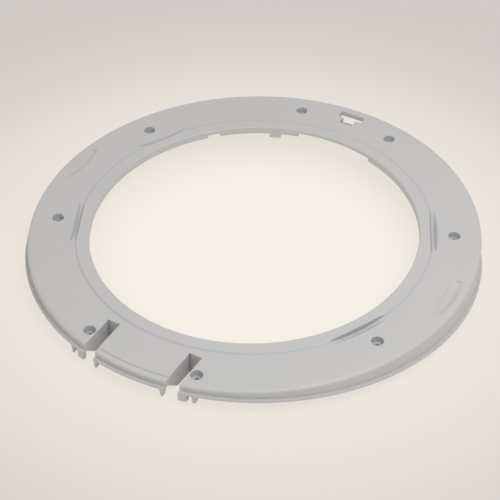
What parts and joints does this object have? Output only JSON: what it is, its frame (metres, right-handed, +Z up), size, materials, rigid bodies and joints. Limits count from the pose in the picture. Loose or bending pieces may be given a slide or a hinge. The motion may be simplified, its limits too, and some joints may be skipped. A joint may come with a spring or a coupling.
{
  "type": "washing machine inner door frame",
  "caption": "Moulded ring that backs a front-loading washer's round door: sunk screw holes, open hinge slots, a latch window and a raised lip around the glass opening",
  "frame": {"origin": "Centre of the flange's outline on the table: the part stands on its two hinge pockets and on the edge of the flange below the latch", "axes": "+X to the latch window, -X to the hinge slots, +Z up out of the face that meets the machine, +Y completes a right-handed frame"},
  "size_m": [0.4164, 0.4166, 0.0372],
  "materials": {
    "grey_plastic": "fine matte"
  },
  "bodies": {
    "root": {"door_inner_frame": "grey_plastic"}
  },
  "joints": []
}
